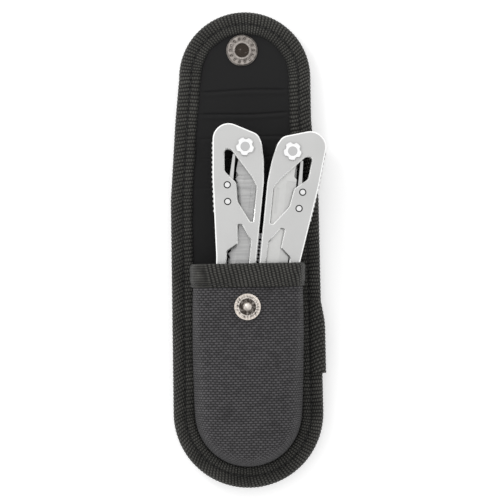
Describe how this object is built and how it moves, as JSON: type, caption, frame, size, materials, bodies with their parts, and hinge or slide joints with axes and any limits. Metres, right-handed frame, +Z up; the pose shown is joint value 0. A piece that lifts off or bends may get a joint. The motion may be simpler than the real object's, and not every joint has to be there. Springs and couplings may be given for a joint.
{
  "type": "multi tool with belt pouch",
  "caption": "Folding plier multi tool with leaf implements in two steel handles, half drawn from a nylon belt pouch with an open snap flap.",
  "frame": {"origin": "on the back face of the belt loop, on the pouch's centre line", "axes": "+Y along the pouch from its foot to its flap, +Z up out of the pocket's front"},
  "size_m": [0.0627, 0.1904, 0.0329],
  "materials": {
    "handle_steel": "bead-blasted satin with bright bevelled edges",
    "polished_steel": "polished",
    "implement_steel": "brushed across the leaf",
    "plier_steel": "satin forged steel",
    "aged_nickel": "antique nickel plating, worn on high points",
    "ballistic_nylon": "coarse woven ballistic nylon",
    "lining": "smooth coated lining cloth",
    "binding_tape": "ribbed woven binding tape",
    "webbing": "woven nylon webbing"
  },
  "bodies": {
    "pouch": {"belt_loop": "webbing", "back_panel": "ballistic_nylon", "back_lining": "lining", "body_binding": "binding_tape", "binding_overlap": "binding_tape", "pocket_front": "ballistic_nylon", "mouth_binding": "binding_tape", "snap_stud": "aged_nickel", "snap_backing": "aged_nickel"},
    "flap": {"flap_panel": "ballistic_nylon", "flap_lining": "lining", "flap_binding": "binding_tape", "snap_cap": "aged_nickel", "snap_socket": "aged_nickel"},
    "plier_left": {"plier_half_left": "plier_steel", "plier_rivet": "polished_steel"},
    "plier_right": {"plier_half_right": "plier_steel"},
    "left_handle": {"left_front_plate": "handle_steel", "left_rear_plate": "handle_steel", "left_back_spacer": "handle_steel", "left_spacer_pins": "polished_steel", "left_tail_pin": "polished_steel", "left_star_caps": "polished_steel", "left_washers": "polished_steel", "left_head_pin": "polished_steel"},
    "right_handle": {"right_front_plate": "handle_steel", "right_rear_plate": "handle_steel", "right_back_spacer": "handle_steel", "right_spacer_pins": "polished_steel", "right_tail_pin": "polished_steel", "right_star_caps": "polished_steel", "right_washers": "polished_steel", "right_head_pin": "polished_steel"},
    "wood_saw": {"wood_saw": "implement_steel"},
    "serrated_blade": {"serrated_blade": "implement_steel"},
    "can_opener": {"can_opener": "implement_steel"},
    "medium_driver": {"medium_driver": "implement_steel"},
    "phillips_driver": {"phillips_driver": "implement_steel"},
    "file_blade": {"file_blade": "implement_steel"},
    "knife_blade": {"knife_blade": "implement_steel"},
    "bottle_opener": {"bottle_opener": "implement_steel"},
    "large_driver": {"large_driver": "implement_steel"},
    "awl": {"awl": "implement_steel"}
  },
  "joints": [
    {"name": "tool_slide", "type": "slide", "parent": "pouch", "child": "plier_left", "axis": [0.1158, 0.9933, 0], "range_m": [-0.0115, 0.11]},
    {"name": "flap_fold", "type": "hinge", "parent": "pouch", "child": "flap", "pos_m": [0, 0.056, 0.0198], "axis": [-1, 0, 0], "range_deg": [-176, 0]},
    {"name": "left_handle_pivot", "type": "hinge", "parent": "plier_left", "child": "left_handle", "pos_m": [-0.00808, -0.04416, 0.0193], "axis": [0, 0, 1], "range_deg": [0, 174], "deforming": ["pocket_front", "mouth_binding"]},
    {"name": "plier_pivot", "type": "hinge", "parent": "plier_left", "child": "plier_right", "pos_m": [0.00186, -0.02972, 0.0193], "axis": [0, 0, 1], "range_deg": [0, 27]},
    {"name": "right_handle_pivot", "type": "hinge", "parent": "plier_right", "child": "right_handle", "pos_m": [0.00821, -0.04606, 0.0193], "axis": [0, 0, -1], "range_deg": [0, 174]},
    {"name": "wood_saw_pivot", "type": "hinge", "parent": "left_handle", "child": "wood_saw", "pos_m": [0.00059, 0.04101, 0.0193], "axis": [0, 0, 1], "range_deg": [0, 180]},
    {"name": "serrated_blade_pivot", "type": "hinge", "parent": "left_handle", "child": "serrated_blade", "pos_m": [0.00059, 0.04101, 0.0193], "axis": [0, 0, 1], "range_deg": [0, 180]},
    {"name": "can_opener_pivot", "type": "hinge", "parent": "left_handle", "child": "can_opener", "pos_m": [0.00059, 0.04101, 0.0193], "axis": [0, 0, 1], "range_deg": [0, 180]},
    {"name": "medium_driver_pivot", "type": "hinge", "parent": "left_handle", "child": "medium_driver", "pos_m": [0.00059, 0.04101, 0.0193], "axis": [0, 0, 1], "range_deg": [0, 180]},
    {"name": "phillips_driver_pivot", "type": "hinge", "parent": "left_handle", "child": "phillips_driver", "pos_m": [0.00059, 0.04101, 0.0193], "axis": [0, 0, 1], "range_deg": [0, 180]},
    {"name": "file_blade_pivot", "type": "hinge", "parent": "right_handle", "child": "file_blade", "pos_m": [0.01936, 0.03882, 0.0193], "axis": [0, 0, -1], "range_deg": [0, 180]},
    {"name": "knife_blade_pivot", "type": "hinge", "parent": "right_handle", "child": "knife_blade", "pos_m": [0.01936, 0.03882, 0.0193], "axis": [0, 0, -1], "range_deg": [0, 180]},
    {"name": "bottle_opener_pivot", "type": "hinge", "parent": "right_handle", "child": "bottle_opener", "pos_m": [0.01936, 0.03882, 0.0193], "axis": [0, 0, -1], "range_deg": [0, 180]},
    {"name": "large_driver_pivot", "type": "hinge", "parent": "right_handle", "child": "large_driver", "pos_m": [0.01936, 0.03882, 0.0193], "axis": [0, 0, -1], "range_deg": [0, 180]},
    {"name": "awl_pivot", "type": "hinge", "parent": "right_handle", "child": "awl", "pos_m": [0.01936, 0.03882, 0.0193], "axis": [0, 0, -1], "range_deg": [0, 180]}
  ],
  "couplings": [
    {"joint": "plier_pivot", "follows": "left_handle_pivot", "ratio": 0.155},
    {"joint": "right_handle_pivot", "follows": "left_handle_pivot", "ratio": 1},
    {"joint": "wood_saw_pivot", "follows": "left_handle_pivot", "ratio": 1},
    {"joint": "serrated_blade_pivot", "follows": "left_handle_pivot", "ratio": 0.82},
    {"joint": "can_opener_pivot", "follows": "left_handle_pivot", "ratio": 0.36},
    {"joint": "medium_driver_pivot", "follows": "left_handle_pivot", "ratio": 0.52},
    {"joint": "phillips_driver_pivot", "follows": "left_handle_pivot", "ratio": 0.68},
    {"joint": "file_blade_pivot", "follows": "left_handle_pivot", "ratio": 0.82},
    {"joint": "knife_blade_pivot", "follows": "left_handle_pivot", "ratio": 1},
    {"joint": "bottle_opener_pivot", "follows": "left_handle_pivot", "ratio": 0.36},
    {"joint": "large_driver_pivot", "follows": "left_handle_pivot", "ratio": 0.52},
    {"joint": "awl_pivot", "follows": "left_handle_pivot", "ratio": 0.68}
  ]
}
